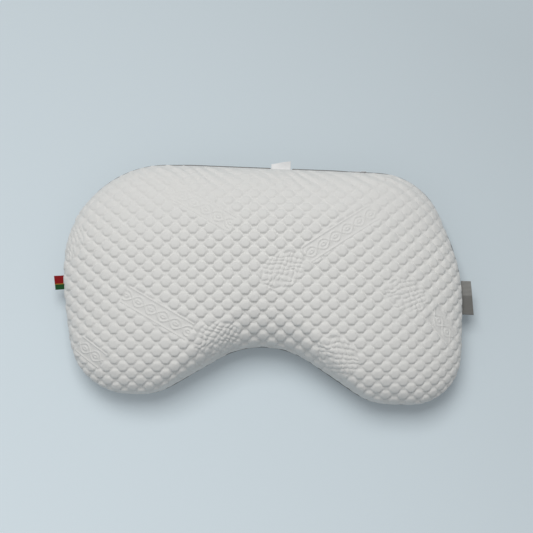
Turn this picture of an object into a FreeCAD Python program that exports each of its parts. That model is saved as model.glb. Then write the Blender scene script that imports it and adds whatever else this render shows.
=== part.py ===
import FreeCAD, Part
import math
import os

from FreeCAD import Vector

# Cervical contour pillow: a moulded foam core in a thin liner, inside a two-part cover with a zip,
# a piped seam and three sewn-in tabs. Millimetres. X runs along the pillow, Y towards its back
# edge, Z up, and the origin is the centre of the flat underside.

# Plan outline, clockwise from the back left: each corner's x, y and rounding radius.
BACK_Y = 175.0
FRONT_Y = -175.0
PLAN_CORNERS = [
    (-300.0, BACK_Y, 152.0),    # back left
    (240.0, BACK_Y, 104.0),     # back right
    (302.0, 20.0, 250.0),       # right side
    (299.0, FRONT_Y, 77.0),     # right lobe, outer
    (168.0, FRONT_Y, 85.0),     # right lobe, inner
    (7.0, -74.0, 128.0),        # shoulder recess
    (-152.0, FRONT_Y, 95.0),    # left lobe, inner
    (-268.0, FRONT_Y, 90.0),    # left lobe, outer
    (-301.0, -15.0, 300.0),     # left side
]

# Section: a rounded foot, an upright wall and a domed crown.
HEIGHT = 112.0
WALL_TOP = 44.0
FOOT_RADIUS = 26.0
CROWN_CENTRE = Vector(0.0, 10.0, 0.0)
CROWN_POWER = 3.0
CROWN_LEVELS = 14
CROWN_CAP = 0.08

# Layers, from the outside in.
COVER = 2.5
LINER = 0.8

# The seam between the two cover panels lies in a plane that rises towards the back.
SEAM_Z = 40.0
SEAM_TILT = 3.27
PIPING_PROUD = 1.2
PIPING_WIDTH = 2.6

# Helpers for cutting and picking: a length past everything, and a small allowance.
REACH = 1000.0
SLIVER = 0.01

# Zip, set in the upright part of the base panel's back wall.
ZIP_X = 10.0
ZIP_Z = 35.0
ZIP_LENGTH = 300.0
SLOT_HALF = 5.2
TAPE = 0.6
TAPE_OVERRUN = 10.0
TAPE_OUTER = 8.8
ROW_INNER = 0.9
ROW_OUTER = 3.4
ROW_THICK = 2.2
POCKET_DEPTH = 2.9
POCKET_CLEARANCE = 1.0
STOP_LENGTH = 3.0
STOP_GAP = 2.0

# Slider and pull, measured from the cover's outer face and the chain's centre line.
SLIDER_LENGTH = 12.0
SLIDER_HALF = 4.6
SLIDER_CLEARANCE = 0.3
SHIELD = 1.4
BACK_SHIELD = 1.2
FLANGE = 0.7
POST_LENGTH = 3.0
POST_HALF = 0.6
CROWN_BAR = 0.9
CROWN_RISE = 2.9
CROWN_REACH = 4.2
CROWN_LEG = 1.2
PIN_RADIUS = 0.6
PIN_RISE = 2.7
PULL_HALF = 3.0
PULL_ARM = 1.6
PULL_ARM_REACH = 5.2
PULL_LENGTH = 22.0
PULL_THICK = 1.0
PULL_END_RADIUS = 2.4
PULL_WINDOW_PAST_PIN = 1.0

# Tabs sewn into the seam: place along it, width, reach, thickness, upward lean and slant (how much
# further one end of the fold reaches than the other, as a share of the reach).
TAB_CLEARANCE = 0.4
TAB_SLOT = 1.0
CARE_X = 21.0
CARE_WIDTH = 29.5
CARE_REACH = 8.5
CARE_THICK = 1.2
CARE_LEAN = 12.0
CARE_SLANT = 0.55
FLAG_Y = -11.7
FLAG_WIDTH = 21.2
FLAG_REACH = 13.2
FLAG_THICK = 1.0
FLAG_SLANT = 0.24
SIDE_Y = -11.0
SIDE_WIDTH = 51.0
SIDE_REACH = 15.2
SIDE_THICK = 1.2
SIDE_SLANT = 0.32


def block(x_low, x_high, y_low, y_high, z_low, z_high):
    """A box between two corners."""
    size = (x_high - x_low, y_high - y_low, z_high - z_low)
    return Part.makeBox(*size, Vector(x_low, y_low, z_low))


def plan_outline(inset):
    """The plan outline, moved inwards by inset, as lines joined by tangent arcs at z = 0."""
    count = len(PLAN_CORNERS)
    spans = []
    for index in range(count):
        before = Vector(*PLAN_CORNERS[index - 1][:2], 0.0)
        corner = Vector(*PLAN_CORNERS[index][:2], 0.0)
        after = Vector(*PLAN_CORNERS[(index + 1) % count][:2], 0.0)
        way_in = (corner - before).normalize()
        way_out = (after - corner).normalize()
        inward_in = Vector(way_in.y, -way_in.x, 0.0)
        inward_out = Vector(way_out.y, -way_out.x, 0.0)
        corner += (inward_in + inward_out) * (inset / (1.0 + inward_in.dot(inward_out)))
        hollow = way_in.cross(way_out).z > 0.0
        radius = PLAN_CORNERS[index][2] + (inset if hollow else -inset)
        half_turn = way_in.getAngle(way_out) / 2.0
        setback = radius * math.tan(half_turn)
        towards_centre = (way_out - way_in).normalize()
        centre = corner + towards_centre * (radius / math.cos(half_turn))
        start = corner - way_in * setback
        middle = centre - towards_centre * radius
        end = corner + way_out * setback
        spans.append((start, middle, end))
    edges = []
    for index in range(count):
        start, middle, end = spans[index]
        edges.append(Part.LineSegment(spans[index - 1][2], start).toShape())
        edges.append(Part.Arc(start, middle, end).toShape())
    return Part.Wire(edges)


def crown(inset):
    """The domed top: the outline, shrunk about the crown's centre as it rises."""
    outline = plan_outline(inset)
    rise = HEIGHT - inset - WALL_TOP
    levels = []
    for step in range(CROWN_LEVELS + 1):
        share = 1.0 - (1.0 - CROWN_CAP) * (step / CROWN_LEVELS) ** 2
        level = outline.copy()
        level.scale(share, CROWN_CENTRE)
        level.translate(Vector(0.0, 0.0, WALL_TOP + rise * math.sqrt(1.0 - share ** CROWN_POWER)))
        levels.append(level)
    return Part.makeLoft(levels, True, False)


def pillow_body(inset):
    """The whole pillow, moved inwards by inset."""
    wall = Part.Face(plan_outline(inset)).extrude(Vector(0.0, 0.0, WALL_TOP - inset))
    wall.translate(Vector(0.0, 0.0, inset))
    foot_edges = [edge for edge in wall.Edges if edge.BoundBox.ZMax < inset + SLIVER]
    wall = wall.makeFillet(FOOT_RADIUS - inset, foot_edges)
    return wall.fuse(crown(inset))


def seam_slab(low, high):
    """Everything between two heights above the tilted seam plane."""
    slab = block(-REACH, REACH, -REACH, REACH, low, high)
    slab.rotate(Vector(0.0, 0.0, 0.0), Vector(1.0, 0.0, 0.0), SEAM_TILT)
    slab.translate(Vector(0.0, 0.0, SEAM_Z))
    return slab


def seam_height(y):
    """Height of the seam plane at y."""
    return SEAM_Z + y * math.tan(math.radians(SEAM_TILT))


def zip_block(x_margin, y_low, y_high, z_low, z_high):
    """A box along the zip, with y from the cover's outer face and z from the chain's centre."""
    half = ZIP_LENGTH / 2.0 + x_margin
    return block(ZIP_X - half, ZIP_X + half, BACK_Y + y_low, BACK_Y + y_high,
                 ZIP_Z + z_low, ZIP_Z + z_high)


def zip_pocket(margin):
    """Hollow behind the zip's tapes, grown by margin."""
    sides = TAPE_OVERRUN + POCKET_CLEARANCE + margin
    half = TAPE_OUTER + POCKET_CLEARANCE + margin
    return zip_block(sides, -COVER - POCKET_DEPTH - margin, REACH, -half, half)


def mirrored(shape):
    """The shape's twin on the other side of the zip's centre line."""
    return shape.mirror(Vector(0.0, 0.0, ZIP_Z), Vector(0.0, 0.0, 1.0))


def foam_core():
    depth = COVER + LINER
    return pillow_body(depth).cut(zip_pocket(LINER))


def core_liner():
    outside = pillow_body(COVER).cut(zip_pocket(0.0))
    return outside.cut(foam_core())


def cover_shell():
    return pillow_body(0.0).cut(pillow_body(COVER))


def top_panel(shell):
    return shell.common(seam_slab(0.0, REACH))


def base_panel(shell):
    slot = zip_block(0.0, -BACK_Y, REACH, -SLOT_HALF, SLOT_HALF)
    return shell.common(seam_slab(-REACH, 0.0)).cut(slot)


def seam_piping():
    """A proud cord round the seam, open where each tab comes out of it."""
    band = pillow_body(-PIPING_PROUD).common(seam_slab(-PIPING_WIDTH / 2.0, PIPING_WIDTH / 2.0))
    band = band.cut(pillow_body(0.0))
    care_half = CARE_WIDTH / 2.0 + TAB_SLOT
    band = band.cut(block(CARE_X - care_half, CARE_X + care_half, 0.0, REACH, 0.0, REACH))
    flag_half = FLAG_WIDTH / 2.0 + TAB_SLOT
    band = band.cut(block(-REACH, 0.0, FLAG_Y - flag_half, FLAG_Y + flag_half, 0.0, REACH))
    side_half = SIDE_WIDTH / 2.0 + TAB_SLOT
    return band.cut(block(0.0, REACH, SIDE_Y - side_half, SIDE_Y + side_half, 0.0, REACH))


def zip_tape_upper():
    return zip_block(TAPE_OVERRUN, -COVER - TAPE, -COVER, ROW_INNER, TAPE_OUTER)


def zip_row_upper():
    """One side's run of coil teeth, as a bar with a rounded back."""
    end = STOP_GAP + STOP_LENGTH
    bar = zip_block(-end, -COVER, ROW_THICK - COVER, ROW_INNER, ROW_OUTER)
    outer = [edge for edge in bar.Edges
             if edge.BoundBox.XLength > ZIP_LENGTH / 2.0 and edge.BoundBox.YMin > BACK_Y - COVER / 2.0]
    return bar.makeFillet(ROW_THICK / 3.0, outer)


def zip_top_stop_upper():
    """Stop at the closed end of one row."""
    x_high = ZIP_X + ZIP_LENGTH / 2.0 - STOP_GAP
    return block(x_high - STOP_LENGTH, x_high, BACK_Y - COVER, BACK_Y - COVER + ROW_THICK,
                 ZIP_Z + ROW_INNER, ZIP_Z + ROW_OUTER)


def zip_bottom_stop():
    """Staple that joins both rows at the open end."""
    x_low = ZIP_X - ZIP_LENGTH / 2.0 + STOP_GAP
    return block(x_low, x_low + STOP_LENGTH, BACK_Y - COVER, BACK_Y - COVER + ROW_THICK,
                 ZIP_Z - ROW_OUTER, ZIP_Z + ROW_OUTER)


def slider_place():
    """Where the slider rests: against the top stops, on the cover's outer face."""
    x = ZIP_X + ZIP_LENGTH / 2.0 - STOP_GAP - STOP_LENGTH - SLIDER_CLEARANCE - SLIDER_LENGTH / 2.0
    return Vector(x, BACK_Y, ZIP_Z)


def zip_slider():
    """Front and back shields joined by a post, with edge flanges and a crown for the pull."""
    half = SLIDER_LENGTH / 2.0
    front_low = SLIDER_CLEARANCE
    front_high = front_low + SHIELD
    front = block(-half, half, front_low, front_high, -SLIDER_HALF, SLIDER_HALF)
    corners = [edge for edge in front.Edges if edge.BoundBox.YLength > SHIELD / 2.0]
    front = front.makeFillet(SLIDER_HALF / 2.0, corners)
    back_high = -COVER - TAPE - SLIDER_CLEARANCE
    back = block(-half, half, back_high - BACK_SHIELD, back_high, -SLIDER_HALF, SLIDER_HALF)
    corners = [edge for edge in back.Edges if edge.BoundBox.YLength > BACK_SHIELD / 2.0]
    back = back.makeFillet(SLIDER_HALF / 2.0, corners)
    post = block(half - 2.0 * POST_LENGTH, half - POST_LENGTH, back_high, front_low,
                 -POST_HALF, POST_HALF)
    body = front.fuse([back, post])
    flange_reach = half - SLIDER_HALF / 2.0
    for side in (-1.0, 1.0):
        flange = block(-flange_reach, flange_reach, -COVER + 2.0 * SLIDER_CLEARANCE, front_low,
                       SLIDER_HALF - FLANGE, SLIDER_HALF)
        if side < 0.0:
            flange = flange.mirror(Vector(0.0, 0.0, 0.0), Vector(0.0, 0.0, 1.0))
        body = body.fuse(flange)
    arch = block(-CROWN_REACH, CROWN_REACH, front_high, front_high + CROWN_RISE,
                 -CROWN_BAR, CROWN_BAR)
    tops = [edge for edge in arch.Edges
            if edge.BoundBox.ZLength > CROWN_BAR and edge.BoundBox.YMin > front_high + CROWN_RISE / 2.0]
    arch = arch.makeFillet(CROWN_LEG, tops)
    opening = block(CROWN_LEG - CROWN_REACH, CROWN_REACH - CROWN_LEG, front_high,
                    front_high + CROWN_RISE - CROWN_BAR, -REACH, REACH)
    body = body.fuse(arch.cut(opening))
    body.translate(slider_place())
    return body


def zip_pull():
    """Pull tab: a pin under the crown, two arms and a rounded plate."""
    pin = Part.makeCylinder(PIN_RADIUS, 2.0 * PULL_HALF, Vector(0.0, PIN_RISE, -PULL_HALF))
    plate = block(-PULL_LENGTH, 0.0, PIN_RISE - PULL_THICK / 2.0, PIN_RISE + PULL_THICK / 2.0,
                  -PULL_HALF, PULL_HALF)
    ends = [edge for edge in plate.Edges
            if edge.BoundBox.YLength > PULL_THICK / 2.0 and edge.BoundBox.XMax < -PULL_ARM_REACH]
    plate = plate.makeFillet(PULL_END_RADIUS, ends)
    window_half = PULL_HALF - PULL_ARM
    plate = plate.cut(block(-PULL_ARM_REACH, PULL_WINDOW_PAST_PIN, 0.0, 2.0 * PIN_RISE,
                            -window_half, window_half))
    pull = plate.fuse(pin)
    pull.translate(slider_place())
    return pull


def tab(width, reach, thick, slant):
    """A sewn tab lying along +X from its round root on the Y axis, longest at its -Y end."""
    half = width / 2.0
    low = -thick / 2.0
    corners = [Vector(0.0, -half, low), Vector(reach * (1.0 + slant / 2.0), -half, low),
               Vector(reach * (1.0 - slant / 2.0), half, low), Vector(0.0, half, low)]
    outline = Part.makePolygon(corners + corners[:1])
    plate = Part.Face(outline).extrude(Vector(0.0, 0.0, thick))
    far_edges = [edge for edge in plate.Edges
                 if edge.BoundBox.ZLength > thick / 2.0 and edge.BoundBox.XMin > reach / 2.0]
    plate = plate.makeFillet(thick, far_edges)
    root = Part.makeCylinder(thick / 2.0, width, Vector(0.0, -width / 2.0, 0.0), Vector(0.0, 1.0, 0.0))
    return plate.fuse(root)


def edge_of_body(x_low, x_high, y_low, y_high, z):
    """Bounds of the pillow's outer surface inside a thin slice at height z."""
    slice_box = block(x_low, x_high, y_low, y_high, z - TAB_SLOT, z + TAB_SLOT)
    return pillow_body(0.0).common(slice_box).BoundBox


def care_label():
    z = seam_height(BACK_Y)
    half = CARE_WIDTH / 2.0
    root_y = edge_of_body(CARE_X - half, CARE_X + half, 0.0, REACH, z).YMax
    label = tab(CARE_WIDTH, CARE_REACH, CARE_THICK, CARE_SLANT)
    label.rotate(Vector(0.0, 0.0, 0.0), Vector(0.0, 0.0, 1.0), 90.0)
    label.rotate(Vector(0.0, 0.0, 0.0), Vector(1.0, 0.0, 0.0), CARE_LEAN)
    label.translate(Vector(CARE_X, root_y + CARE_THICK / 2.0 + TAB_CLEARANCE, z))
    return label


def flag_tab():
    z = seam_height(FLAG_Y)
    half = FLAG_WIDTH / 2.0
    root_x = edge_of_body(-REACH, 0.0, FLAG_Y - half, FLAG_Y + half, z).XMin
    label = tab(FLAG_WIDTH, FLAG_REACH, FLAG_THICK, FLAG_SLANT)
    label.rotate(Vector(0.0, 0.0, 0.0), Vector(0.0, 0.0, 1.0), 180.0)
    label.translate(Vector(root_x - FLAG_THICK / 2.0 - TAB_CLEARANCE, FLAG_Y, z))
    return label


def side_label():
    z = seam_height(SIDE_Y)
    half = SIDE_WIDTH / 2.0
    root_x = edge_of_body(0.0, REACH, SIDE_Y - half, SIDE_Y + half, z).XMax
    label = tab(SIDE_WIDTH, SIDE_REACH, SIDE_THICK, SIDE_SLANT)
    label.translate(Vector(root_x + SIDE_THICK / 2.0 + TAB_CLEARANCE, SIDE_Y, z))
    return label


def write_part(name, shape):
    """Write one node and print what a reader would check."""
    box = shape.BoundBox
    print(name, "solids", len(shape.Solids), "valid", shape.isValid(), "volume", round(shape.Volume),
          "x", round(box.XMin, 1), round(box.XMax, 1), "y", round(box.YMin, 1), round(box.YMax, 1),
          "z", round(box.ZMin, 1), round(box.ZMax, 1))
    shape.exportStep(os.path.join("parts", name + ".step"))


def main():
    os.makedirs("parts", exist_ok=True)
    shell = cover_shell()
    parts = {
        "foam_core": foam_core(),
        "core_liner": core_liner(),
        "top_panel": top_panel(shell),
        "base_panel": base_panel(shell),
        "seam_piping": seam_piping(),
        "zip_tape_upper": zip_tape_upper(),
        "zip_tape_lower": mirrored(zip_tape_upper()),
        "zip_row_upper": zip_row_upper(),
        "zip_row_lower": mirrored(zip_row_upper()),
        "zip_top_stop_upper": zip_top_stop_upper(),
        "zip_top_stop_lower": mirrored(zip_top_stop_upper()),
        "zip_bottom_stop": zip_bottom_stop(),
        "zip_slider": zip_slider(),
        "zip_pull": zip_pull(),
        "care_label": care_label(),
        "flag_tab": flag_tab(),
        "side_label": side_label(),
    }
    for name, shape in parts.items():
        write_part(name, shape)


main()
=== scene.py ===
import math
import bmesh
import bpy
import numpy as np
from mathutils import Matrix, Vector
from mathutils.bvhtree import BVHTree


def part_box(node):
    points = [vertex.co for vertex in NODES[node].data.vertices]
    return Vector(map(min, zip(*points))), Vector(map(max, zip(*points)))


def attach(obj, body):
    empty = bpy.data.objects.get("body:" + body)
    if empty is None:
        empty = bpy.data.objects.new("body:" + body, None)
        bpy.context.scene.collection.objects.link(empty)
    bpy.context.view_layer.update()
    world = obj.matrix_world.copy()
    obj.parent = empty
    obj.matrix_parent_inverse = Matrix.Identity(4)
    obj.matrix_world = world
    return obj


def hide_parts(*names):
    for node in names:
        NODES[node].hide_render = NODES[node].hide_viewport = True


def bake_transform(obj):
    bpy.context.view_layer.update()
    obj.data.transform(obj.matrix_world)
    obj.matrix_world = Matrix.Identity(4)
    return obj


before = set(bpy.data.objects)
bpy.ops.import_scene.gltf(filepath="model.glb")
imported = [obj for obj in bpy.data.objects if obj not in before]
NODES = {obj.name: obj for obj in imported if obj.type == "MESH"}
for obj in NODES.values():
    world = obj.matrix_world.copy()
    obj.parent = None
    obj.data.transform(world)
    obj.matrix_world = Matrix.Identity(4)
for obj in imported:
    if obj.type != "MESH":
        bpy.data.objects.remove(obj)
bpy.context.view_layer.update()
MM = 0.001

# ---------------------------------------------------------------- places read from the frame
TOP_LOW, TOP_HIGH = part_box("top_panel")
BASE_LOW, BASE_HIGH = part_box("base_panel")
BACK_Y = BASE_HIGH.y
TAPE_LOW, TAPE_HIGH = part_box("zip_tape_upper")
ROW_LOW, ROW_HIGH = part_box("zip_row_upper")
ROW_UNDER_LOW, ROW_UNDER_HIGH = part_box("zip_row_lower")
STOP_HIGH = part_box("zip_top_stop_upper")[1]
BOTTOM_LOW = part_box("zip_bottom_stop")[0]
CARE_LOW, CARE_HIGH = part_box("care_label")
FLAG_LOW, FLAG_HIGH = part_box("flag_tab")
SIDE_LOW, SIDE_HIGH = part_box("side_label")
ZIP_Z = (ROW_LOW.z + ROW_UNDER_HIGH.z) / 2
SEAM_BACK = BASE_HIGH.z
SEAM_FRONT = TOP_LOW.z
SEAM_NORMAL = Vector((0, SEAM_FRONT - SEAM_BACK, BASE_HIGH.y - BASE_LOW.y)).normalized()
SEAM_POINT = Vector((0, 0, (SEAM_BACK + SEAM_FRONT) / 2))

# ---------------------------------------------------------------- cover
SKIN_CENTRE = Vector((0, 0.010, 0.042))
SKIN_STEP = 3.8 * MM
WALL_TOP = 44 * MM
PUFF_PRESSURE = 3.0
PUFF_FRAMES = 20
PUFF_CAP = 3.2 * MM
SHRINK = 1.8 * MM
LINER_CLEARANCE = 1.3 * MM
SEAM_BAND = 5 * MM
GROOVE_DEPTH = 1.8 * MM
GROOVE_HALF = 4 * MM
# where the piping shows from above: each pair is where it starts to show and where it shows in full
PIPING_BACK_Y = (150 * MM, 165 * MM)
PIPING_BACK_LEFT = (-150 * MM, -110 * MM)
PIPING_BACK_RIGHT = (140 * MM, 100 * MM)
PIPING_END_X = (260 * MM, 280 * MM)
PIPING_END_Y = (100 * MM, 70 * MM)
SLOT_HALF = 5.2 * MM
SLOT_MARGIN = 2 * MM
RIM = 2.6 * MM
TOP_FACES = 190000

# ---------------------------------------------------------------- bubble knit
PITCH_X = 25.5 * MM
PITCH_Y = 22.3 * MM
LATTICE_TURN = math.radians(2.3)
LATTICE_START = (-38.1 * MM, 11.4 * MM)
BUBBLE_X = 9.4 * MM
BUBBLE_Y = 8.0 * MM
BUBBLE_SHOULDER = 0.84
BUBBLE_RISE = 4.3 * MM
EDGE_PLAIN = 1.5 * MM
EDGE_FULL = 8.5 * MM
LINE_WIDTH = 1.0 * MM
LINE_RISE = 1.5 * MM
PATCH_LEVEL = 0.9 * MM
PEBBLE_X = 11.5 * MM
PEBBLE_Y = 9.2 * MM
PEBBLE_RISE = 2.2 * MM
FOLD_PITCH = 15 * MM
FOLD_RISE = 1.5 * MM
CRUMPLE_RISE = 2.0 * MM
# each woven motif: kind, middle x, middle y, turn in degrees, length
MOTIFS = (
    ("braid", -96 * MM, 100 * MM, -29, 118 * MM),
    ("pebbles", 28 * MM, 8 * MM, 34, 70 * MM),
    ("braid", 112 * MM, 68 * MM, 36, 130 * MM),
    ("braid", -150 * MM, -60 * MM, -28, 118 * MM),
    ("pebbles", -62 * MM, -94 * MM, 18, 70 * MM),
    ("pebbles", 114 * MM, -112 * MM, -42, 70 * MM),
    ("pebbles", 210 * MM, -20 * MM, -18, 66 * MM),
    ("braid", 272 * MM, -60 * MM, -44, 60 * MM),
    ("braid", -250 * MM, -120 * MM, -34, 54 * MM),
    ("pebbles", -290 * MM, 48 * MM, 78, 60 * MM),
)


# ---------------------------------------------------------------- mesh helpers

def link(name, mesh):
    piece = bpy.data.objects.new(name, mesh)
    bpy.context.scene.collection.objects.link(piece)
    return piece


def mesh_object(name, vertices, faces):
    """A new object from plain lists."""
    mesh = bpy.data.meshes.new(name)
    mesh.from_pydata([tuple(v) for v in vertices], [], [tuple(f) for f in faces])
    mesh.update()
    return link(name, mesh)


def coordinates(mesh):
    """The mesh's vertices as an array."""
    flat = np.empty(len(mesh.vertices) * 3, np.float32)
    mesh.vertices.foreach_get("co", flat)
    return flat.reshape(-1, 3).astype(float)


def normals(mesh):
    """The mesh's vertex normals as an array."""
    flat = np.empty(len(mesh.vertices) * 3, np.float32)
    mesh.vertex_normals.foreach_get("vector", flat)
    return flat.reshape(-1, 3).astype(float)


def place(mesh, points):
    """Moves the mesh's vertices."""
    mesh.vertices.foreach_set("co", np.asarray(points, np.float32).ravel())
    mesh.update()


def note(mesh, name, values):
    """Stores a vector for each vertex. "cloth" is its place on the flat fabric, which weaves follow."""
    layer = mesh.attributes.new(name, "FLOAT_VECTOR", "POINT")
    padded = np.zeros((len(values), 3), np.float32)
    padded[:, :values.shape[1]] = values
    layer.data.foreach_set("vector", padded.ravel())


def noted(mesh, name):
    """The vectors that note() stored."""
    flat = np.empty(len(mesh.vertices) * 3, np.float32)
    mesh.attributes[name].data.foreach_get("vector", flat)
    return flat.reshape(-1, 3).astype(float)


def bake_modifiers(piece):
    """Applies every modifier on the piece."""
    graph = bpy.context.evaluated_depsgraph_get()
    done = bpy.data.meshes.new_from_object(piece.evaluated_get(graph))
    piece.modifiers.clear()
    old = piece.data
    piece.data = done
    bpy.data.meshes.remove(old)


def smooth_shade(piece):
    piece.data.polygons.foreach_set("use_smooth", [True] * len(piece.data.polygons))


def subdivide(piece, levels):
    modifier = piece.modifiers.new("fine", "SUBSURF")
    modifier.levels = levels
    modifier.render_levels = levels
    bake_modifiers(piece)


def tube(points, radius, sides=8, flat=1.0):
    """Vertices, faces and fabric places of a capped tube along the points."""
    line = np.asarray(points, float)
    along = np.gradient(line, axis=0)
    along /= np.linalg.norm(along, axis=1, keepdims=True)
    side = np.cross(along, (0, 0, 1.0))
    side /= np.maximum(np.linalg.norm(side, axis=1, keepdims=True), 1e-9)
    up = np.cross(side, along)
    turn = np.arange(sides) * 2 * math.pi / sides
    rings = line[:, None] + radius * (np.cos(turn)[None, :, None] * side[:, None]
                                      + flat * np.sin(turn)[None, :, None] * up[:, None])
    vertices = rings.reshape(-1, 3)
    run = np.concatenate([[0], np.cumsum(np.linalg.norm(np.diff(line, axis=0), axis=1))])
    cloth = np.stack([np.repeat(run, sides), np.tile(turn * radius, len(line))], 1)
    faces = []
    for ring in range(len(line) - 1):
        for k in range(sides):
            after = (k + 1) % sides
            start = ring * sides
            faces.append((start + k, start + after, start + sides + after, start + sides + k))
    faces.append(tuple(reversed(range(sides))))
    faces.append(tuple(range(len(vertices) - sides, len(vertices))))
    return vertices, faces, cloth


def tubes_object(name, lines, radius, sides=8, flat=1.0):
    """One object of several tubes."""
    vertices = []
    faces = []
    cloth = []
    for line in lines:
        start = sum(len(v) for v in vertices)
        points, quads, places = tube(line, radius, sides, flat)
        vertices.append(points)
        cloth.append(places)
        faces.extend(tuple(start + i for i in face) for face in quads)
    piece = mesh_object(name, np.concatenate(vertices), faces)
    note(piece.data, "cloth", np.concatenate(cloth))
    smooth_shade(piece)
    return piece


def ease(value):
    """A smooth step from 0 to 1."""
    value = np.clip(value, 0, 1)
    return value * value * (3 - 2 * value)


def ramp(value, ends):
    """A smooth step from 0 at the first end to 1 at the second, whichever is larger."""
    start, full = ends
    return ease((value - start) / (full - start))


# ---------------------------------------------------------------- the cover's skin

def cover_tree():
    """A search tree of the two cover panels and the liner behind the zip."""
    points = []
    faces = []
    for node in ("top_panel", "base_panel", "core_liner"):
        mesh = NODES[node].data
        start = len(points)
        points.extend(v.co.copy() for v in mesh.vertices)
        faces.extend(tuple(start + i for i in p.vertices) for p in mesh.polygons)
    return BVHTree.FromPolygons(points, faces)


def outside_point(tree, direction):
    """Where the cover's outer face is, in a direction from the pillow's middle."""
    start = SKIN_CENTRE + direction
    hit = tree.ray_cast(start, -direction)[0]
    in_slot = hit.y > BACK_Y - 15 * MM and abs(hit.z - ZIP_Z) < SLOT_HALF + MM
    if in_slot and TAPE_LOW.x < hit.x < TAPE_HIGH.x:
        hit.y = BACK_Y
    return hit


def cover_skin():
    """The whole cover's outer face as one closed, even mesh."""
    ball = bmesh.new()
    bmesh.ops.create_icosphere(ball, subdivisions=7, radius=1.0)
    tree = cover_tree()
    for vertex in ball.verts:
        vertex.co = outside_point(tree, vertex.co.normalized())
    mesh = bpy.data.meshes.new("cover_skin")
    ball.to_mesh(mesh)
    ball.free()
    skin = link("cover_skin", mesh)
    remesh = skin.modifiers.new("even", "REMESH")
    remesh.mode = "VOXEL"
    remesh.voxel_size = SKIN_STEP
    bake_modifiers(skin)
    relax = skin.modifiers.new("relax", "SMOOTH")
    relax.factor = 0.5
    relax.iterations = 3
    bake_modifiers(skin)
    return skin


def seam_distance(points):
    """Signed height of each point over the seam plane."""
    return (points - np.array(SEAM_POINT)) @ np.array(SEAM_NORMAL)


def groove(points):
    """Draws points near the seam in, as the stitching does, except where the piping shows from above."""
    reach = np.exp(-(seam_distance(points) / GROOVE_HALF) ** 2)
    x = points[:, 0]
    y = points[:, 1]
    behind = ramp(y, PIPING_BACK_Y) * ramp(x, PIPING_BACK_LEFT) * ramp(x, PIPING_BACK_RIGHT)
    beside = ramp(x, PIPING_END_X) * ramp(y, PIPING_END_Y)
    shown = np.maximum(behind, beside)
    front = ramp(y, (-30 * MM, -80 * MM)) * (1 - shown)
    depth = GROOVE_DEPTH * reach * (1 - 0.85 * shown + 0.5 * front)
    inward = np.array(SKIN_CENTRE)[:2] - points[:, :2]
    inward /= np.linalg.norm(inward, axis=1, keepdims=True)
    moved = points.copy()
    moved[:, :2] += inward * depth[:, None]
    return moved


def puff(skin):
    """Lets air pressure fill a slightly small cover between its seam, its zip and its flat foot."""
    start = coordinates(skin.data)
    height = seam_distance(start)
    held = (np.abs(height) < SEAM_BAND) | (start[:, 2] < 3 * MM)
    held |= (height < 0) & (start[:, 1] > BACK_Y - 12 * MM)
    start -= normals(skin.data) * (SHRINK * ramp(height, (SEAM_BAND, 5 * SEAM_BAND)))[:, None]
    place(skin.data, start)
    group = skin.vertex_groups.new(name="held")
    group.add(np.nonzero(held)[0].tolist(), 1.0, "REPLACE")
    cloth = skin.modifiers.new("cloth", "CLOTH")
    settings = cloth.settings
    settings.quality = 4
    settings.mass = 0.3
    settings.tension_stiffness = 12
    settings.compression_stiffness = 12
    settings.shear_stiffness = 4
    settings.bending_stiffness = 1.5
    settings.vertex_group_mass = "held"
    settings.use_pressure = True
    settings.uniform_pressure_force = PUFF_PRESSURE
    settings.effector_weights.gravity = 0
    cloth.collision_settings.use_collision = False
    scene = bpy.context.scene
    cloth.point_cache.frame_start = 1
    cloth.point_cache.frame_end = PUFF_FRAMES
    for step in range(1, PUFF_FRAMES + 1):
        scene.frame_set(step)
    bake_modifiers(skin)
    scene.frame_set(1)
    skin.vertex_groups.clear()
    moved = coordinates(skin.data) - start
    length = np.linalg.norm(moved, axis=1, keepdims=True)
    moved *= np.minimum(1.0, PUFF_CAP / np.maximum(length, 1e-9))
    place(skin.data, start + moved)


def clear_liner(skin):
    """Keeps the cover's top off the liner, where its own tension would draw it in."""
    mesh = NODES["core_liner"].data
    tree = BVHTree.FromPolygons([v.co for v in mesh.vertices], [p.vertices[:] for p in mesh.polygons])
    points = coordinates(skin.data)
    for index in np.nonzero(seam_distance(points) > SEAM_BAND)[0]:
        point = Vector(points[index])
        direction = (point - SKIN_CENTRE).normalized()
        hit, normal = tree.ray_cast(SKIN_CENTRE + direction, -direction)[:2]
        gap = (point - hit).dot(normal)
        if gap < LINER_CLEARANCE:
            points[index] += np.array(normal) * (LINER_CLEARANCE - gap)
    place(skin.data, points)


def half_of(skin, name, above):
    """The part of the skin above or below the seam plane, as its own object."""
    piece = link(name, skin.data.copy())
    piece.data.name = name
    work = bmesh.new()
    work.from_mesh(piece.data)
    bmesh.ops.bisect_plane(work, geom=work.verts[:] + work.edges[:] + work.faces[:], dist=1e-6,
                           plane_co=SEAM_POINT, plane_no=SEAM_NORMAL,
                           clear_inner=above, clear_outer=not above)
    work.to_mesh(piece.data)
    work.free()
    return piece


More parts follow.
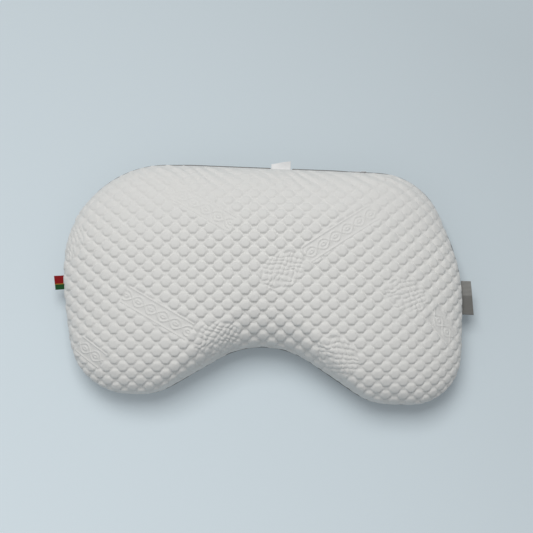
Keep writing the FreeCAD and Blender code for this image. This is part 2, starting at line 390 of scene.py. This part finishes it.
def seam_loop(piece):
    """The cut edge of a cover half as a closed, even line round the pillow."""
    work = bmesh.new()
    work.from_mesh(piece.data)
    edge = np.array([v.co for v in work.verts if v.is_boundary])
    edge = edge[np.abs(seam_distance(edge)) < MM]
    work.free()
    centre = np.array(SKIN_CENTRE)
    order = np.argsort(np.arctan2(edge[:, 1] - centre[1], edge[:, 0] - centre[0]))
    edge = edge[order]
    closed = np.concatenate([edge[-20:], edge, edge[:21]])
    kernel = np.ones(7) / 7
    smooth = np.stack([np.convolve(closed[:, k], kernel, "same") for k in range(3)], 1)[20:-20]
    run = np.concatenate([[0], np.cumsum(np.linalg.norm(np.diff(smooth, axis=0), axis=1))])
    even = np.linspace(0, run[-1], int(run[-1] / (1.5 * MM)))
    return np.stack([np.interp(even, run, smooth[:, k]) for k in range(3)], 1)


def turn_in(piece, chosen, shift):
    """Folds a strip of cloth in from the chosen edges."""
    work = bmesh.new()
    work.from_mesh(piece.data)
    edges = [e for e in work.edges if e.is_boundary and chosen((e.verts[0].co + e.verts[1].co) / 2)]
    made = bmesh.ops.extrude_edge_only(work, edges=edges)["geom"]
    for vertex in made:
        if isinstance(vertex, bmesh.types.BMVert):
            vertex.co += shift(vertex.co)
    bmesh.ops.recalc_face_normals(work, faces=work.faces[:])
    work.to_mesh(piece.data)
    work.free()


def at_seam(point):
    return abs((point - SEAM_POINT).dot(SEAM_NORMAL)) < 1.5 * MM


def to_middle(point):
    """A step from the seam's edge in towards the core."""
    inward = Vector((SKIN_CENTRE.x - point.x, SKIN_CENTRE.y - point.y, 0)).normalized()
    return inward * RIM


# ---------------------------------------------------------------- relief of the knit

def fabric_place(points, facing):
    """Where each point is on the flat fabric: its plan place plus the length run down the side."""
    rise = TOP_HIGH.z - WALL_TOP
    share = np.linspace(0, 1, 400)
    height = WALL_TOP + rise * np.sqrt(1 - share ** 3)
    plan = share * BACK_Y
    run = np.concatenate([[0], np.cumsum(np.hypot(np.diff(plan), np.diff(height)))])
    extra = np.interp(-points[:, 2], -height, run - plan)
    extra += np.maximum(0, WALL_TOP - points[:, 2])
    level = np.linalg.norm(facing[:, :2], axis=1, keepdims=True)
    outward = facing[:, :2] / np.maximum(level, 1e-6)
    share_used = (0.7 + 0.3 * outward[:, :1]) * np.clip(level * 4, 0, 1)
    return points[:, :2] + outward * extra[:, None] * share_used


def hash_noise(i, j, seed):
    """A repeatable number from 0 to 1 for each lattice cell."""
    value = np.sin(i * 127.1 + j * 311.7 + seed * 74.7) * 43758.5453
    return value - np.floor(value)


def soft_noise(x, y, seed):
    """Smooth noise from 0 to 1 with one cell per unit."""
    i = np.floor(x)
    j = np.floor(y)
    a = x - i
    b = y - j
    a = a * a * (3 - 2 * a)
    b = b * b * (3 - 2 * b)
    near = hash_noise(i, j, seed) * (1 - a) + hash_noise(i + 1, j, seed) * a
    far = hash_noise(i, j + 1, seed) * (1 - a) + hash_noise(i + 1, j + 1, seed) * a
    return near * (1 - b) + far * b


def bubbles(cloth):
    """Height share of the bubble lattice at each point of the fabric."""
    c = math.cos(LATTICE_TURN)
    s = math.sin(LATTICE_TURN)
    x = cloth[:, 0] - LATTICE_START[0]
    y = cloth[:, 1] - LATTICE_START[1]
    across = c * x + s * y
    along = c * y - s * x
    best = np.zeros(len(cloth))
    for shift in (0.0, 0.5):
        column = np.round(across / PITCH_X - shift)
        row = np.round(along / PITCH_Y - shift)
        size = 0.96 + 0.08 * hash_noise(column, row, shift)
        sway = 0.6 * MM * (hash_noise(row, column, 5 + shift) - 0.5)
        dx = (across - (column + shift) * PITCH_X + sway) / (BUBBLE_X * size)
        dy = (along - (row + shift) * PITCH_Y - sway) / (BUBBLE_Y * size)
        sides = (np.abs(dy), np.abs(0.866 * dx + 0.5 * dy), np.abs(0.866 * dx - 0.5 * dy))
        reach = sum(side ** 12 for side in sides) ** (1 / 12)
        dome = 1 / (1 + (reach / BUBBLE_SHOULDER) ** (8 + 4 * ease(0.2 - 1.2 * dy)))
        dome *= 1 - 0.15 * np.minimum(reach, 1) ** 2
        best = np.maximum(best, dome * (0.88 + 0.12 * hash_noise(row, column, 3)))
    return best


def line(distance):
    """A rounded ridge where the distance is nil."""
    return np.exp(-(distance / LINE_WIDTH) ** 2)


def pebbles(s, t, length):
    """An oval patch of small close grains, each a little off its place."""
    across = s / PEBBLE_X + 0.7 * soft_noise(s / PEBBLE_X, t / PEBBLE_Y, 25)
    along = t / PEBBLE_Y + 0.7 * soft_noise(s / PEBBLE_X, t / PEBBLE_Y, 27)
    height = np.zeros(len(s))
    for shift in (0.0, 0.5):
        column = np.round(across - shift)
        row = np.round(along - shift)
        dx = across - column - shift + 0.2 * (hash_noise(column, row, 21 + shift) - 0.5)
        dy = along - row - shift + 0.2 * (hash_noise(row, column, 23 + shift) - 0.5)
        height = np.maximum(height, 1 / (1 + (np.hypot(dx, dy) / 0.3) ** 6))
    mask = ease((1.1 - np.hypot(2 * s / length, t / (0.36 * length))) * 4)
    return PEBBLE_RISE * height, mask


def braid(s, t, length):
    """Two waves that cross between straight ribs, as on a woven band."""
    half = length / 2
    swing = 7.5 * MM
    wave = 21 * MM
    phase = np.sin(s * math.pi / wave)
    height = np.maximum(line(t - swing * phase), line(t + swing * phase))
    inner = np.hypot((np.mod(s, wave) - wave / 2) / 1.7, t)
    height = np.maximum(height, line(inner - 2 * MM))
    height = np.maximum(height, line(np.abs(t) - 12.5 * MM))
    height *= LINE_RISE * (np.abs(s) < half - 3 * MM)
    mask = ease((half - np.abs(s)) / (5 * MM)) * ease((18 * MM - np.abs(t)) / (5 * MM))
    return height, mask


def motifs(cloth):
    """Height of the woven motifs' lines, and where they take the place of the bubbles."""
    lines = np.zeros(len(cloth))
    masks = np.zeros(len(cloth))
    for kind, x, y, turn, length in MOTIFS:
        near = np.nonzero(np.hypot(cloth[:, 0] - x, cloth[:, 1] - y) < length * 0.6)[0]
        if len(near) == 0:
            continue
        angle = math.radians(turn)
        dx = cloth[near, 0] - x
        dy = cloth[near, 1] - y
        s = dx * math.cos(angle) + dy * math.sin(angle)
        t = dy * math.cos(angle) - dx * math.sin(angle)
        drawn = pebbles if kind == "pebbles" else braid
        height, mask = drawn(s, t, length)
        lines[near] = np.maximum(lines[near], height * mask)
        masks[near] = np.maximum(masks[near], mask)
    return lines, masks


def stretch(points):
    """How far the bubbles stand up: least where the cover is stretched over the back and the ends."""
    x = points[:, 0]
    y = points[:, 1]
    back_to_front = 0.28 + 0.87 * ramp(y, (168 * MM, 13 * MM))
    lobes = 1 - 0.12 * ramp(y, (-80 * MM, -120 * MM))
    ends = 1 - 0.2 * ramp(np.abs(x), (90 * MM, 180 * MM))
    middle = 1 + 0.25 * np.exp(-(x / (100 * MM)) ** 2) * ramp(y, (0, 60 * MM))
    return back_to_front * lobes * ends * middle


def raised(cloth):
    """Height of the knit's bubbles and motifs at each point of the fabric where it isn't stretched."""
    lines, masks = motifs(cloth)
    return BUBBLE_RISE * bubbles(cloth) * (1 - masks) + PATCH_LEVEL * masks + lines


def edge_fade(points):
    """Nil at the seam, where the cover lies flat, and 1 past it."""
    return ramp(seam_distance(points), (EDGE_PLAIN, EDGE_FULL))


def knit_relief(piece):
    """Raises the knit's full relief out of the top panel's mesh."""
    mesh = piece.data
    points = coordinates(mesh)
    facing = normals(mesh)
    cloth = fabric_place(points, facing)
    place(mesh, points + facing * (raised(cloth) * edge_fade(points))[:, None])
    note(mesh, "cloth", cloth)
    note(mesh, "facing", facing)


def stretch_relief(piece):
    """Flattens the relief where the cover is stretched or turns down, and adds its folds."""
    mesh = piece.data
    points = coordinates(mesh)
    facing = noted(mesh, "facing")
    turned_down = 1 - np.clip(facing[:, 2], 0, 1)
    # slopes that face the front keep more of their relief
    upright = 1 - turned_down * (0.65 - 0.45 * np.clip(-1.5 * facing[:, 1], 0, 1))
    upright *= 0.25 + 0.75 * ramp(facing[:, 2], (0.05, 0.5))
    flattened = raised(noted(mesh, "cloth")[:, :2]) * (1 - stretch(points) * upright)
    x = points[:, 0]
    y = points[:, 1]
    pulled = ramp(y, (95 * MM, 155 * MM))
    across = (x * 0.57 + y * 0.82) / FOLD_PITCH
    drift = 1.6 * soft_noise(x / (70 * MM), y / (50 * MM), 11)
    strength = soft_noise(x / (50 * MM), y / (50 * MM), 17)
    folds = FOLD_RISE * np.sin((across + drift) * 2 * math.pi) * strength * pulled
    crumple = np.abs(soft_noise(x / (7 * MM), y / (12 * MM), 31) - 0.5)
    at_left_end = ramp(x, (-235 * MM, -275 * MM)) * ramp(y, (-30 * MM, 20 * MM))
    folds += CRUMPLE_RISE * crumple * at_left_end
    place(mesh, points + facing * ((folds * upright - flattened) * edge_fade(points))[:, None])


def thin_out(piece, triangles):
    """Keeps the mesh's detail where it bends most, within a number of triangles."""
    count = sum(len(p.vertices) - 2 for p in piece.data.polygons)
    if count > triangles:
        modifier = piece.modifiers.new("thin", "DECIMATE")
        modifier.ratio = triangles / count
        bake_modifiers(piece)


# ---------------------------------------------------------------- zip

def cut_slot(piece):
    """Cuts the zip's slot in the back wall of the base panel and folds its edges in."""
    left = BOTTOM_LOW.x - SLOT_MARGIN
    right = STOP_HIGH.x + SLOT_MARGIN
    work = bmesh.new()
    work.from_mesh(piece.data)
    cuts = (((left, 0, 0), (1, 0, 0)), ((right, 0, 0), (1, 0, 0)),
            ((0, 0, ZIP_Z - SLOT_HALF), (0, 0, 1)), ((0, 0, ZIP_Z + SLOT_HALF), (0, 0, 1)))
    for point, normal in cuts:
        faces = [f for f in work.faces if f.calc_center_median().y > BACK_Y - 3 * MM and f.normal.y > 0.5]
        near = set(faces)
        edges = {e for f in near for e in f.edges}
        vertices = {v for f in near for v in f.verts}
        bmesh.ops.bisect_plane(work, geom=list(near) + list(edges) + list(vertices), dist=1e-6,
                               plane_co=point, plane_no=normal)
    gone = []
    for face in work.faces:
        middle = face.calc_center_median()
        inside = left < middle.x < right and abs(middle.z - ZIP_Z) < SLOT_HALF
        if inside and middle.y > BACK_Y - 3 * MM:
            gone.append(face)
    bmesh.ops.delete(work, geom=gone, context="FACES")
    work.to_mesh(piece.data)
    work.free()
    turn_in(piece, lambda point: abs(point.z - ZIP_Z) < SLOT_HALF + MM and point.y > BACK_Y - 5 * MM
            and not at_seam(point), lambda point: Vector((0, -RIM, 0)))


def coil(name, low, high, way, shift):
    """One row of the zip as a flattened spiral."""
    wire = 0.36 * MM
    pitch = 1.7 * MM
    turns = int((high.x - low.x) / pitch) - 1
    steps = 14
    angle = np.arange(turns * steps) * 2 * math.pi / steps
    inner = ZIP_Z + way * 0.25 * MM
    outer = high.z - wire if way > 0 else low.z + wire
    middle = (inner + outer) / 2
    half = abs(outer - inner) / 2
    x = low.x + wire + shift * pitch + angle / (2 * math.pi) * pitch
    y = (low.y + high.y) / 2 + ((high.y - low.y) / 2 - wire) * np.sin(angle)
    z = middle + half * np.cos(angle)
    return tubes_object(name, [np.stack([x, y, z], 1)], wire, sides=6)


def stitch_row(start, step, count, length):
    """Short thread stitches one after another, each as a small arched line."""
    rows = []
    for k in range(count):
        begin = np.array(start) + np.array(step) * k
        share = np.linspace(0, 1, 6)
        points = begin + np.outer(share, np.array(step) / np.linalg.norm(step) * length)
        points[:, 1] += np.sin(share * math.pi) * 0.25 * MM - 0.1 * MM
        rows.append(points)
    return rows


# ---------------------------------------------------------------- tabs

def ribbon_tab(name, root, out, side, length, width, gap, wave, lean=0.0, slant=0.0, skew=0.0):
    """A ribbon folded back on itself, with both ends in the seam; its longest side reaches length."""
    out = np.array(out, float)
    side = np.array(side, float)
    up = np.cross(side, out)
    up *= np.sign(up[2])
    fold = gap / 2
    length /= 1 + abs(slant) / 2
    straight = length - fold
    steps = 16
    path = [(straight * k / steps, -fold) for k in range(steps)]
    path += [(straight + fold * math.sin(a), -fold * math.cos(a)) for a in np.linspace(0, math.pi, 9)]
    path += [(straight * (steps - k) / steps, fold) for k in range(1, steps + 1)]
    across = np.linspace(-0.5, 0.5, 33)
    vertices = []
    cloth = []
    run = 0.0
    for index, (reach, height) in enumerate(path):
        if index:
            run += math.hypot(reach - path[index - 1][0], height - path[index - 1][1])
        out_share = reach / length
        for w in across:
            far = reach * (1 + slant * w)
            bend = wave * math.sin(w * 5.2 + 0.6) * out_share ** 2 + lean * far
            point = np.array(root) + out * far + side * (w * width + skew * reach) + up * (height + bend)
            vertices.append(point)
            cloth.append((w * width, run))
    columns = len(across)
    faces = []
    for row in range(len(path) - 1):
        for k in range(columns - 1):
            a = row * columns + k
            faces.append((a, a + 1, a + columns + 1, a + columns))
    piece = mesh_object(name, vertices, faces)
    note(piece.data, "cloth", np.array(cloth))
    thick = piece.modifiers.new("thick", "SOLIDIFY")
    thick.thickness = 0.28 * MM
    thick.offset = 0
    bake_modifiers(piece)
    smooth_shade(piece)
    return piece


# ---------------------------------------------------------------- materials

class Nodes:
    """A short way to wire a material."""

    def __init__(self, name, roughness=0.9):
        self.material = bpy.data.materials.new(name)
        self.material.use_nodes = True
        self.tree = self.material.node_tree
        self.tree.nodes.clear()
        self.shader = self.add("ShaderNodeBsdfPrincipled")
        self.shader.inputs["Roughness"].default_value = roughness
        output = self.add("ShaderNodeOutputMaterial")
        self.link(self.shader.outputs["BSDF"], output.inputs["Surface"])

    def add(self, kind, **values):
        node = self.tree.nodes.new(kind)
        for key, value in values.items():
            setattr(node, key, value)
        return node

    def link(self, source, target):
        self.tree.links.new(source, target)

    def cloth(self):
        return self.add("ShaderNodeAttribute", attribute_name="cloth").outputs["Vector"]

    def object_place(self):
        return self.add("ShaderNodeTexCoord").outputs["Object"]

    def noise(self, vector, scale, detail=3):
        node = self.add("ShaderNodeTexNoise")
        node.inputs["Scale"].default_value = scale
        node.inputs["Detail"].default_value = detail
        self.link(vector, node.inputs["Vector"])
        return node.outputs["Fac"]

    def cells(self, vector, scale, stretch=(1, 1, 1)):
        mapping = self.add("ShaderNodeMapping")
        mapping.inputs["Scale"].default_value = stretch
        self.link(vector, mapping.inputs["Vector"])
        node = self.add("ShaderNodeTexVoronoi", feature="F1")
        node.inputs["Scale"].default_value = scale
        node.inputs["Randomness"].default_value = 0.35
        self.link(mapping.outputs["Vector"], node.inputs["Vector"])
        return node.outputs["Distance"]

    def wave(self, vector, scale, direction, distortion=0.0):
        node = self.add("ShaderNodeTexWave", wave_type="BANDS", bands_direction=direction)
        node.inputs["Scale"].default_value = scale
        node.inputs["Distortion"].default_value = distortion
        self.link(vector, node.inputs["Vector"])
        return node.outputs["Fac"]

    def math(self, operation, a, b):
        node = self.add("ShaderNodeMath", operation=operation)
        for socket, value in ((node.inputs[0], a), (node.inputs[1], b)):
            if isinstance(value, (int, float)):
                socket.default_value = value
            else:
                self.link(value, socket)
        return node.outputs["Value"]

    def mix(self, factor, first, second):
        node = self.add("ShaderNodeMix", data_type="RGBA")
        self.link(factor, node.inputs["Factor"])
        for socket, value in ((node.inputs["A"], first), (node.inputs["B"], second)):
            if isinstance(value, tuple):
                socket.default_value = (*value, 1)
            else:
                self.link(value, socket)
        return node.outputs["Result"]

    def steps(self, value, places, colours):
        """Plain bands of colour along a value."""
        ramp = self.add("ShaderNodeValToRGB")
        ramp.color_ramp.interpolation = "CONSTANT"
        stops = ramp.color_ramp.elements
        while len(stops) < len(places):
            stops.new(0.5)
        for stop, at, colour in zip(stops, places, colours):
            stop.position = at
            stop.color = (*colour, 1)
        self.link(value, ramp.inputs["Fac"])
        return ramp.outputs["Color"]

    def colour(self, source):
        if isinstance(source, tuple):
            self.shader.inputs["Base Color"].default_value = (*source, 1)
        else:
            self.link(source, self.shader.inputs["Base Color"])

    def bump(self, height, strength, depth, invert=False):
        node = self.add("ShaderNodeBump", invert=invert)
        node.inputs["Strength"].default_value = strength
        node.inputs["Distance"].default_value = depth
        self.link(height, node.inputs["Height"])
        self.link(node.outputs["Normal"], self.shader.inputs["Normal"])

    def sheen(self, weight):
        self.shader.inputs["Sheen Weight"].default_value = weight
        self.shader.inputs["Sheen Roughness"].default_value = 0.5


def bubble_knit():
    """White double-jersey with fine loops."""
    n = Nodes("bubble_knit", 0.88)
    place_on = n.cloth()
    loops = n.cells(place_on, 1000, (1, 0.72, 1))
    mottled = n.noise(place_on, 240, 4)
    n.colour(n.mix(n.math("MULTIPLY", mottled, 0.2), (0.85, 0.85, 0.832), (0.66, 0.66, 0.65)))
    n.bump(n.math("ADD", n.math("MULTIPLY", loops, -0.5), mottled), 0.55, 0.0009)
    n.sheen(0.15)
    return n.material


def grey_knit(name, light, dark):
    """Grey warp knit with fine upright ribs."""
    n = Nodes(name, 0.85)
    place_on = n.object_place()
    loops = n.cells(place_on, 800, (1, 1, 0.6))
    n.colour(n.mix(loops, light, dark))
    n.bump(loops, 0.5, 0.0004, invert=True)
    n.sheen(0.2)
    return n.material


def woven(name, light, dark, scale, roughness=0.75):
    """A plain weave that follows the ribbon."""
    n = Nodes(name, roughness)
    place_on = n.cloth()
    warp = n.wave(place_on, scale, "X")
    weft = n.wave(place_on, scale, "Y")
    threads = n.math("MAXIMUM", warp, weft)
    n.colour(n.mix(threads, dark, light))
    n.bump(threads, 0.5, 0.0002)
    return n.material


def wear(piece, material):
    """Gives the piece its material."""
    piece.data.materials.clear()
    piece.data.materials.append(material)


# ---------------------------------------------------------------- build the cover

skin = cover_skin()
puff(skin)
clear_liner(skin)
top = half_of(skin, "cover_top", True)
base = half_of(skin, "cover_base", False)
bpy.data.objects.remove(skin)
seam_line = groove(seam_loop(base))
subdivide(top, 2)
place(top.data, groove(coordinates(top.data)))
knit_relief(top)
thin_out(top, TOP_FACES)
stretch_relief(top)
turn_in(top, at_seam, to_middle)
smooth_shade(top)
subdivide(base, 1)
place(base.data, groove(coordinates(base.data)))
cut_slot(base)
turn_in(base, at_seam, to_middle)
smooth_shade(base)

wear(top, bubble_knit())
wear(base, grey_knit("grey_knit", (0.23, 0.235, 0.235), (0.13, 0.13, 0.13)))
for panel, node in ((top, "top_panel"), (base, "base_panel")):
    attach(panel, "pillow")
    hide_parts(node)


# ---------------------------------------------------------------- build the piping

def outside_tabs(point):
    """True where the piping shows, and false where a tab is sewn in its place."""
    behind = CARE_LOW.x - MM < point[0] < CARE_HIGH.x + MM and point[1] > 0.1
    left = point[0] < -0.2 and FLAG_LOW.y - MM < point[1] < FLAG_HIGH.y + MM
    right = point[0] > 0.2 and SIDE_LOW.y - MM < point[1] < SIDE_HIGH.y + MM
    return not (behind or left or right)


def piping_runs(loop):
    """The seam line in runs between the tabs."""
    shown = [outside_tabs(p) for p in loop]
    first = shown.index(False)
    order = list(range(first, len(loop))) + list(range(first))
    runs = []
    for index in order:
        if not shown[index]:
            runs.append([])
        else:
            runs[-1].append(loop[index])
    return [np.array(run) for run in runs if len(run) > 4]


piping = tubes_object("seam_piping_cord", piping_runs(seam_line), 1.5 * MM, sides=10)
wear(piping, woven("piping_cord", (0.25, 0.25, 0.25), (0.12, 0.12, 0.12), 700))
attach(piping, "pillow")
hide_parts("seam_piping")

# ---------------------------------------------------------------- build the zip

coil_material = Nodes("zip_coil", 0.45)
coil_material.colour(coil_material.mix(coil_material.noise(coil_material.object_place(), 900),
                                       (0.16, 0.16, 0.165), (0.24, 0.24, 0.245)))
rows = (("zip_coil_upper", ROW_LOW, ROW_HIGH, 1, 0.0, "zip_row_upper"),
        ("zip_coil_lower", ROW_UNDER_LOW, ROW_UNDER_HIGH, -1, 0.5, "zip_row_lower"))
for name, low, high, way, shift, node in rows:
    row = coil(name, low, high, way, shift)
    wear(row, coil_material.material)
    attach(row, "pillow")
    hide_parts(node)

stitch_pitch = 3.6 * MM
stitch_count = int((TAPE_HIGH.x - TAPE_LOW.x) / stitch_pitch)
stitch_lines = []
for offset in (-7.2 * MM, 7.2 * MM):
    stitch_lines += stitch_row((TAPE_LOW.x, BACK_Y + 0.15 * MM, ZIP_Z + offset), (stitch_pitch, 0, 0),
                               stitch_count, 2.7 * MM)
stitches = tubes_object("zip_stitches", stitch_lines, 0.3 * MM, sides=6)
wear(stitches, woven("sewing_thread", (0.42, 0.42, 0.42), (0.30, 0.30, 0.30), 2500))
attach(stitches, "pillow")

# ---------------------------------------------------------------- build the tabs

IN_SEAM = 2 * MM
IN_BACK_SEAM = 1.5 * MM
care_root = ((CARE_LOW.x + CARE_HIGH.x) / 2, BACK_Y - IN_BACK_SEAM, CARE_LOW.z + 0.6 * MM)
care = ribbon_tab("care_label_ribbon", care_root, (0, 1, 0), (1, 0, 0),
                  length=CARE_HIGH.y - BACK_Y + IN_BACK_SEAM, width=CARE_HIGH.x - CARE_LOW.x,
                  gap=0.9 * MM, wave=1.1 * MM, lean=0.2, slant=0.5)
flag_root = (FLAG_HIGH.x + IN_SEAM, (FLAG_LOW.y + FLAG_HIGH.y) / 2, (FLAG_LOW.z + FLAG_HIGH.z) / 2)
flag = ribbon_tab("flag_tab_ribbon", flag_root, (-1, 0, 0), (0, 1, 0),
                  length=FLAG_HIGH.x - FLAG_LOW.x + IN_SEAM, width=FLAG_HIGH.y - FLAG_LOW.y,
                  gap=0.6 * MM, wave=0.5 * MM, slant=0.24, skew=-0.1)
woven_root = (SIDE_LOW.x - IN_SEAM, (SIDE_LOW.y + SIDE_HIGH.y) / 2, (SIDE_LOW.z + SIDE_HIGH.z) / 2)
woven_label = ribbon_tab("side_label_ribbon", woven_root, (1, 0, 0), (0, 1, 0),
                         length=SIDE_HIGH.x - SIDE_LOW.x + IN_SEAM, width=SIDE_HIGH.y - SIDE_LOW.y,
                         gap=0.7 * MM, wave=0.7 * MM, slant=-0.3)

satin = Nodes("care_satin", 0.45)
satin_threads = satin.wave(satin.cloth(), 900, "Y")
satin.colour(satin.mix(satin_threads, (0.78, 0.79, 0.80), (0.88, 0.88, 0.88)))
satin.bump(satin_threads, 0.2, 0.0001)
satin.sheen(0.2)
wear(care, satin.material)


def flag_ribbon():
    """Woven ribbon in two bands of colour with a thin gold line between them."""
    n = Nodes("flag_ribbon", 0.75)
    n.shader.inputs["Specular IOR Level"].default_value = 0.2
    place_on = n.cloth()
    split = n.add("ShaderNodeSeparateXYZ")
    n.link(place_on, split.inputs["Vector"])
    width = FLAG_HIGH.y - FLAG_LOW.y
    share = n.math("ADD", n.math("DIVIDE", split.outputs["X"], width), 0.5)
    green = (0.005, 0.085, 0.02)
    gold = (0.42, 0.25, 0.03)
    red = (0.29, 0.004, 0.006)
    bands = n.steps(share, (0.0, 0.37, 0.42), (green, gold, red))
    threads = n.wave(place_on, 1100, "Y")
    n.colour(n.mix(n.math("MULTIPLY", threads, 0.3), bands, (0.05, 0.02, 0.02)))
    n.bump(threads, 0.4, 0.00015)
    return n.material


def side_weave():
    """Dark grey woven label with cross ribs and a lighter woven check in its upper half."""
    n = Nodes("side_weave", 0.7)
    place_on = n.cloth()
    split = n.add("ShaderNodeSeparateXYZ")
    n.link(place_on, split.inputs["Vector"])
    ribs = n.wave(place_on, 520, "X")
    fine = n.wave(place_on, 1300, "Y")
    body = n.mix(ribs, (0.15, 0.148, 0.14), (0.27, 0.268, 0.255))
    check = n.math("MULTIPLY", n.wave(place_on, 160, "X"), n.wave(place_on, 220, "Y"))
    upper = n.math("GREATER_THAN", split.outputs["X"], 3 * MM)
    lighter = n.math("MULTIPLY", n.math("MULTIPLY", check, upper), 0.9)
    n.colour(n.mix(lighter, body, (0.62, 0.62, 0.6)))
    n.bump(n.math("ADD", ribs, n.math("MULTIPLY", fine, 0.4)), 0.6, 0.0003)
    return n.material


wear(flag, flag_ribbon())
wear(woven_label, side_weave())
FLEX = 3 * MM  # a step out from the seam, used for each tab's end point below
tabs = ((care, "care_label", "care_tab", (0, BACK_Y, CARE_LOW.z), (0, BACK_Y + FLEX, CARE_LOW.z)),
        (flag, "flag_tab", "left_tab", (FLAG_HIGH.x, 0, FLAG_LOW.z), (FLAG_HIGH.x - FLEX, 0, FLAG_LOW.z)),
        (woven_label, "side_label", "right_tab",
         (SIDE_LOW.x, 0, SIDE_LOW.z), (SIDE_LOW.x + FLEX, 0, SIDE_LOW.z)))
for piece, node, body, start, end in tabs:
    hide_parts(node)
    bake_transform(piece)


# ---------------------------------------------------------------- the CAD nodes that show as they are

def metal(name, colour, roughness):
    n = Nodes(name, roughness)
    place_on = n.object_place()
    scratched = n.noise(place_on, 1400, 4)
    n.shader.inputs["Metallic"].default_value = 1.0
    n.colour(n.mix(scratched, colour, tuple(0.8 * c for c in colour)))
    n.bump(scratched, 0.15, 0.0001)
    return n.material


def repaint(node, material):
    NODES[node].data.materials.clear()
    NODES[node].data.materials.append(material)


tape = Nodes("zip_tape", 0.85)
tape_threads = tape.math("MAXIMUM", tape.wave(tape.object_place(), 700, "X"),
                         tape.wave(tape.object_place(), 700, "Z"))
tape.colour(tape.mix(tape_threads, (0.12, 0.12, 0.12), (0.24, 0.24, 0.24)))
tape.bump(tape_threads, 0.5, 0.0002)
for node in ("zip_tape_upper", "zip_tape_lower"):
    repaint(node, tape.material)
gunmetal = metal("zip_metal", (0.27, 0.27, 0.275), 0.45)
for node in ("zip_slider", "zip_pull"):
    repaint(node, gunmetal)
stop_metal = metal("zip_stop", (0.2, 0.2, 0.205), 0.5)
for node in ("zip_top_stop_upper", "zip_top_stop_lower", "zip_bottom_stop"):
    repaint(node, stop_metal)

foam = Nodes("memory_foam", 0.95)
pores = foam.cells(foam.object_place(), 1200)
foam.colour(foam.mix(pores, (0.83, 0.80, 0.70), (0.72, 0.68, 0.56)))
foam.bump(pores, 0.6, 0.0005, invert=True)
repaint("foam_core", foam.material)
jersey = Nodes("liner_jersey", 0.9)
jersey_loops = jersey.cells(jersey.object_place(), 900, (1, 1, 0.7))
jersey.colour(jersey.mix(jersey_loops, (0.80, 0.80, 0.79), (0.66, 0.66, 0.65)))
jersey.bump(jersey_loops, 0.4, 0.0003, invert=True)
repaint("core_liner", jersey.material)

# ---------------------------------------------------------------- stage, light and camera

# the floor's painted glow: its strength at the middle, and its share of the floor's shading
PAINTED_FLOOR_LIGHT = 0.112
PAINTED_FLOOR_LIGHT_SHARE = 0.15
floor = mesh_object("floor", [(-6, -6, 0), (6, -6, 0), (6, 6, 0), (-6, 6, 0)], [(0, 1, 2, 3)])


def floor_paint_and_glow():
    """Pale blue paper with a painted glow mixed in, which lightens the shadows on it and is a little
    stronger at the front left, so the floor is a little lighter there.
    """
    n = Nodes("floor_paint_and_glow", 0.95)
    n.colour((0.72, 0.815, 0.87))
    split = n.add("ShaderNodeSeparateXYZ")
    n.link(n.object_place(), split.inputs["Vector"])
    # painted light: the glow grows toward the front left
    painted_light_fall = n.math("ADD", n.math("MULTIPLY", split.outputs["X"], -0.093),
                  n.math("MULTIPLY", split.outputs["Y"], -0.19))
    level = n.math("MAXIMUM", n.math("ADD", painted_light_fall, PAINTED_FLOOR_LIGHT), 0.0)
    level = n.math("MINIMUM", level, 0.3)
    # a painted glow, no lamp, that lightens the floor's shadows
    glow = n.add("ShaderNodeEmission")
    glow.inputs["Color"].default_value = (0.888, 1.0, 1.066, 1)
    n.link(n.math("DIVIDE", level, PAINTED_FLOOR_LIGHT_SHARE), glow.inputs["Strength"])
    both = n.add("ShaderNodeMixShader")
    both.inputs["Fac"].default_value = PAINTED_FLOOR_LIGHT_SHARE
    n.link(n.shader.outputs["BSDF"], both.inputs[1])
    n.link(glow.outputs["Emission"], both.inputs[2])
    output = next(node for node in n.tree.nodes if node.type == "OUTPUT_MATERIAL")
    n.link(both.outputs["Shader"], output.inputs["Surface"])
    return n.material


floor.data.materials.append(floor_paint_and_glow())

bpy.context.scene.view_settings.view_transform = "Standard"
world = bpy.data.worlds.new("studio")
bpy.context.scene.world = world
world.use_nodes = True
world.node_tree.nodes["Background"].inputs["Color"].default_value = (0.96, 0.98, 1.0, 1)
world.node_tree.nodes["Background"].inputs["Strength"].default_value = 0.25


def area_light(name, place_at, look_at, size, power, colour):
    lamp = bpy.data.lights.new(name, "AREA")
    lamp.size = size
    lamp.energy = power
    lamp.color = colour
    light = bpy.data.objects.new(name, lamp)
    bpy.context.scene.collection.objects.link(light)
    light.location = place_at
    light.rotation_euler = (Vector(look_at) - Vector(place_at)).to_track_quat("-Z", "Y").to_euler()
    return light


area_light("key", (-0.35, 1.06, 2.82), (0, 0, 0.05), 1.6, 52, (1.0, 0.99, 0.975))

CAMERA_TILT = math.radians(81)
CAMERA_TURN = math.radians(2.3)
CAMERA_DISTANCE = 1.606
CAMERA_AIM = Vector((0.005, 0.023, 0.05))
toward = Vector((-math.sin(CAMERA_TURN) * math.cos(CAMERA_TILT),
                 math.cos(CAMERA_TURN) * math.cos(CAMERA_TILT), -math.sin(CAMERA_TILT)))
camera = bpy.data.objects.new("camera", bpy.data.cameras.new("camera"))
bpy.context.scene.collection.objects.link(camera)
bpy.context.scene.camera = camera
camera.data.lens = 72
camera.data.sensor_width = 36
camera.location = CAMERA_AIM - toward * CAMERA_DISTANCE
camera.rotation_euler = toward.to_track_quat("-Z", "Y").to_euler()
